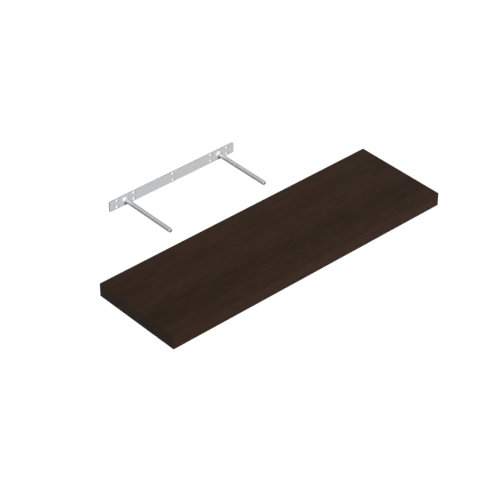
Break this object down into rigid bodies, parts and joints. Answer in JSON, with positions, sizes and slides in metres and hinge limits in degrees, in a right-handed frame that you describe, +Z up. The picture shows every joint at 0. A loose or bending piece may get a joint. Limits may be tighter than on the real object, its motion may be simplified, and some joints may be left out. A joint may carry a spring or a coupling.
{
  "type": "floating wall shelf",
  "caption": "Hollow dark wood-effect shelf board that slides onto a steel wall bracket with two rods.",
  "frame": {"origin": "centre of the wall plate's back face, the face that lies on the wall", "axes": "+X along the shelf, to the right as seen from the room; +Y into the wall; +Z up"},
  "size_m": [0.8, 0.483, 0.034],
  "materials": {
    "dark_wood_foil": "satin",
    "dark_wood_band": "satin",
    "fibreboard": "matte",
    "chipboard": "matte",
    "honeycomb_paper": "matte",
    "zinc_steel": "satin",
    "weld_metal": "satin",
    "staple_wire": "satin"
  },
  "bodies": {
    "bracket": {"wall_plate": "zinc_steel", "left_rod": "zinc_steel", "right_rod": "zinc_steel", "left_weld": "weld_metal", "right_weld": "weld_metal"},
    "board": {"top_skin": "fibreboard", "bottom_skin": "fibreboard", "front_rail": "chipboard", "left_rear_rail": "chipboard", "centre_rear_rail": "chipboard", "right_rear_rail": "chipboard", "left_end_rail": "chipboard", "right_end_rail": "chipboard", "left_rod_block": "chipboard", "right_rod_block": "chipboard", "left_honeycomb": "honeycomb_paper", "centre_honeycomb": "honeycomb_paper", "right_honeycomb": "honeycomb_paper", "decor_foil": "dark_wood_foil", "left_end_band": "dark_wood_band", "right_end_band": "dark_wood_band", "frame_staples": "staple_wire"}
  },
  "joints": [
    {"name": "board_slide", "type": "slide", "parent": "bracket", "child": "board", "axis": [0, 1, 0], "range_m": [0, 0.233]}
  ]
}
